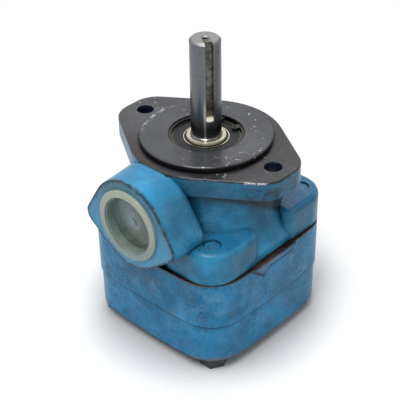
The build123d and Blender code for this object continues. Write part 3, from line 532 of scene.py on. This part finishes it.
# each finish with the nodes that wear it
body_paint = blue_paint("body_paint", "body")
ring_paint = blue_paint("ring_paint", "ring")
FINISHES = [
    (body_paint, ["pump_body"]),
    (ring_paint, ["cam_ring"]),
    (blue_paint("cover_paint", "cover"), ["end_cover"]),
    (shaft_material(), ["drive_shaft"]),
    (plain("snap_bright", srgb(176, 168, 148), srgb(198, 191, 172), 0.28, 0.45, bump=0.05), ["shaft_snap_ring"]),
    (race_material(), ["bearing_inner_race"]),
    (steel("outer_race", srgb(44, 41, 34), srgb(96, 89, 73), 0.30, grime=0.70), ["bearing_outer_race"]),
    (steel("ball_steel", srgb(180, 180, 180), srgb(200, 200, 200), 0.10), ["bearing_balls"]),
    (plain("shield_rubber", srgb(28, 30, 33), srgb(42, 44, 49), 0.50, scale=420, shine=0.2), ["bearing_shield"]),
    (plain("snap_dark", srgb(20, 19, 18), srgb(40, 38, 34), 0.36, 0.5), ["housing_snap_ring"]),
    (screw_material(), ["cover_bolts"]),
    (steel("rotor_steel", srgb(126, 128, 132), srgb(160, 162, 164), 0.22), ["rotor", "dowel_pins"]),
    (steel("vane_steel", srgb(150, 150, 150), srgb(184, 184, 184), 0.18), [f"vane_{i:02d}" for i in range(1, 13)]),
    (plain("pressed_steel", srgb(110, 110, 106), srgb(140, 138, 132), 0.34, 0.9),
     ["bearing_cage", "shaft_seal_case"]),
    (plain("rubber_black", srgb(22, 22, 23), srgb(36, 36, 38), 0.5),
     ["shaft_seal_lip", "plate_o_ring", "body_face_seal", "cover_face_seal"]),
    (plain("spring_wire", srgb(74, 72, 70), srgb(104, 102, 98), 0.32, 0.9), ["seal_garter_spring", "plate_spring"]),
    (plain("bronze", srgb(140, 104, 62), srgb(176, 136, 86), 0.34, 0.9), ["shaft_bushing"]),
    (plain("plate_iron", srgb(74, 74, 76), srgb(104, 104, 106), 0.40, 0.8), ["pressure_plate", "front_plate"]),
    (plain("backup_ring", srgb(206, 204, 196), srgb(222, 220, 212), 0.45), ["plate_backup_ring"]),
    (plug_material(), ["inlet_plug"]),
]
for finish, nodes in FINISHES:
    for node in nodes:
        worn_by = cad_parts[node].data.materials
        worn_by.clear()
        worn_by.append(finish)


# ------------------------------------------------------------------ dressing pieces
def housing_piece(name, verts, faces, material):
    """A smooth-shaded mesh that belongs to the fixed housing."""
    mesh = bpy.data.meshes.new(name)
    mesh.from_pydata([tuple(v) for v in verts], [], faces)
    mesh.validate()
    for polygon in mesh.polygons:
        polygon.use_smooth = True
    obj = bpy.data.objects.new(name, mesh)
    bpy.context.scene.collection.objects.link(obj)
    mesh.materials.append(material)
    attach(obj, "housing")


def thread(name, radius, pitch, depth, length, place, material, steps=40):
    """Internal thread ridge: a helical sawtooth strip standing in from a bore's wall."""
    verts, faces = [], []
    total = int(length / pitch * steps)
    for i in range(total + 1):
        angle = 2 * math.pi * i / steps
        height = length * i / total
        fade = min(1.0, i / (steps / 2), (total - i) / (steps / 2))
        crest = -depth * fade
        for inward, shift in ((0.0, -0.32), (crest, -0.06), (crest, 0.06), (0.0, 0.32)):
            r = radius + inward + 0.02 * MM
            verts.append(place @ Vector((r * math.cos(angle), r * math.sin(angle), height + shift * pitch)))
    for i in range(total):
        for k in range(3):
            a, b = 4 * i + k, 4 * (i + 1) + k
            faces.append((a, b, b + 1, a + 1))
    housing_piece(name, verts, faces, material)


def inside_by(point, outline):
    """Distance from a point to a closed outline: positive inside, negative outside."""
    nearest, inside = 1.0, False
    for (ax, ay), (bx, by) in zip(outline, outline[1:] + outline[:1]):
        share = ((point[0] - ax) * (bx - ax) + (point[1] - ay) * (by - ay)) / ((bx - ax) ** 2 + (by - ay) ** 2)
        share = min(1.0, max(0.0, share))
        nearest = min(nearest, math.dist(point, (ax + share * (bx - ax), ay + share * (by - ay))))
        crosses = (ay > point[1]) != (by > point[1])
        if crosses and point[0] < ax + (point[1] - ay) * (bx - ax) / (by - ay):
            inside = not inside
    return nearest if inside else -nearest


def eased(value):
    """Smooth step from 0 to 1."""
    value = min(1.0, max(0.0, value))
    return value * value * (3 - 2 * value)


def ring_arrow():
    """Cast arrow on the ring's right side: a low relief cut short by the ring's top edge."""
    surface = BVHTree.FromObject(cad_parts["cam_ring"], bpy.context.evaluated_depsgraph_get())
    rise, slope, sunk, step = 1.0 * MM, 0.7 * MM, 0.10 * MM, 0.35 * MM
    margin = 1.5 * MM
    tip, tail = ARROW[0][0], ARROW[-1][0]
    above = JOINT_Z + 6 * MM
    outline = [(tip - 6 * MM, above)] + ARROW + [(tail, above)]
    columns = int((tail - tip + 2 * margin) / step)
    rows = int((JOINT_Z - ARROW_LOW + margin) / step)
    verts, faces = [], []
    # the first row lies sunk in the surface, and closes the relief's top
    for row in range(-1, rows + 1):
        z = JOINT_Z - 0.05 * MM - max(0, row) * step
        for column in range(columns + 1):
            y = tip - margin + column * step
            hit = surface.ray_cast(Vector((0.1, y, z - 0.1 * MM)), Vector((-1, 0, 0)))[0]
            height = 0.0 if row < 0 else rise * eased(inside_by((y, z), outline) / slope)
            verts.append((hit.x - sunk + height, y, z))
    for row in range(rows + 1):
        for column in range(columns):
            a = row * (columns + 1) + column
            b = a + columns + 1
            corners = (a, b, b + 1, a + 1)
            if max(inside_by(verts[k][1:], outline) for k in corners) > 0:
                faces.append(corners)
    housing_piece("ring_arrow", verts, faces, ring_paint)


ring_arrow()
# the outlet's thread: 8.8 mm radius, 16 turns to the inch, 12 mm long
outlet_place = Matrix.Translation((0, 42.5 * MM, OUTLET_Z)) @ Matrix.Rotation(math.radians(-90), 4, "X")
thread("outlet_thread", 8.8 * MM, 25.4 * MM / 16, 0.6 * MM, 12.0 * MM, outlet_place,
       plain("thread_iron", srgb(62, 62, 62), srgb(92, 92, 92), 0.4, 0.8))


# ------------------------------------------------------------------ floor, light, camera
def stage_material():
    """White paper with a painted contact shadow: it greys softly close beneath the object, and is plain white to the
    eye further off.
    """
    m = Mat("floor_paper")
    x, y, _ = m.split(m.object)
    contact_shadow = m.ramp(m.near_edge(60 * MM, inside=False, only_local=False, samples=16), 0.04, 0.50)
    m.set(Base_Color=m.mix(contact_shadow, (0.94, 0.94, 0.94), (0.50, 0.505, 0.51)), Roughness=0.9)
    white = m.nodes.new("ShaderNodeEmission")
    white.inputs["Color"].default_value = (1.0, 1.0, 1.0, 1.0)
    cover = m.nodes.new("ShaderNodeMixShader")
    m.put(cover.inputs[0], m.times(watched(m.nodes, m.links), m.rise(m.radius(x, y), 110, 240)))
    m.links.new(m.bsdf.outputs[0], cover.inputs[1])
    m.links.new(white.outputs[0], cover.inputs[2])
    m.links.new(cover.outputs[0], m.out.inputs[0])
    return m.mat


def watched(nodes, links):
    """1 for rays that come from the camera, straight, by a reflection or through a clear piece."""
    path = nodes.new("ShaderNodeLightPath").outputs
    seen = path["Is Camera Ray"]
    for kind in ("Is Glossy Ray", "Is Transmission Ray"):
        either = nodes.new("ShaderNodeMath")
        either.operation = "MAXIMUM"
        links.new(seen, either.inputs[0])
        links.new(path[kind], either.inputs[1])
        seen = either.outputs[0]
    return seen


bpy.ops.mesh.primitive_plane_add(size=6, location=(0, 0, FLOOR_Z))
floor = bpy.context.object
floor.name = "floor"
floor.data.materials.append(stage_material())


def toward_sky(azimuth, elevation):
    """Unit vector from the part: azimuth from the front towards +X, elevation above the floor, in radians."""
    level = math.cos(elevation)
    return Vector((math.sin(azimuth) * level, -math.cos(azimuth) * level, math.sin(elevation)))


def area_light(name, azimuth, elevation, distance, size, power):
    """A square light in degrees and metres, facing the middle of the housing."""
    data = bpy.data.lights.new(name, "AREA")
    data.energy = power
    data.size = size
    obj = bpy.data.objects.new(name, data)
    away = toward_sky(math.radians(azimuth), math.radians(elevation))
    obj.location = Vector((0, 0, -40 * MM)) + away * distance
    obj.rotation_euler = away.to_track_quat("Z", "Y").to_euler()
    bpy.context.scene.collection.objects.link(obj)


area_light("key", 20, 64, 1.1, 0.62, 10.5)
area_light("fill_left", -50, 35, 1.2, 0.8, 1.6)
area_light("fill_right", 105, 30, 1.2, 0.8, 1.6)
area_light("back", 205, 50, 1.2, 0.7, 3.0)


def background(nodes, colour, strength):
    node = nodes.new("ShaderNodeBackground")
    node.inputs[0].default_value = colour
    node.inputs[1].default_value = strength
    return node.outputs[0]


# the world lights the part softly, and is plain white to the eye
world = bpy.data.worlds.new("studio")
bpy.context.scene.world = world
world.use_nodes = True
tree = world.node_tree
tree.nodes.clear()
world_out = tree.nodes.new("ShaderNodeOutputWorld")
choose = tree.nodes.new("ShaderNodeMixShader")
tree.links.new(watched(tree.nodes, tree.links), choose.inputs[0])
tree.links.new(background(tree.nodes, (0.98, 0.99, 1.0, 1.0), 0.45), choose.inputs[1])
tree.links.new(background(tree.nodes, (1.0, 1.0, 1.0, 1.0), 1.0), choose.inputs[2])
tree.links.new(choose.outputs[0], world_out.inputs[0])

camera_data = bpy.data.cameras.new("camera")
camera_data.sensor_width = 36.0
camera_data.lens = 96.9
camera_data.clip_start = 0.01
camera = bpy.data.objects.new("camera", camera_data)
bpy.context.scene.collection.objects.link(camera)
camera_place = (0.38849, -0.42203, 0.33920)
azimuth, elevation, roll = math.radians(43.1), math.radians(33.95), math.radians(-1.09)
back = toward_sky(azimuth, elevation)
right = Vector((math.cos(azimuth), math.sin(azimuth), 0))
up = back.cross(right)
right, up = math.cos(roll) * right + math.sin(roll) * up, math.cos(roll) * up - math.sin(roll) * right
turn = Matrix((right, up, back)).transposed().to_4x4()
camera.matrix_world = Matrix.Translation(camera_place) @ turn
bpy.context.scene.camera = camera
bpy.context.scene.view_settings.view_transform = "Standard"
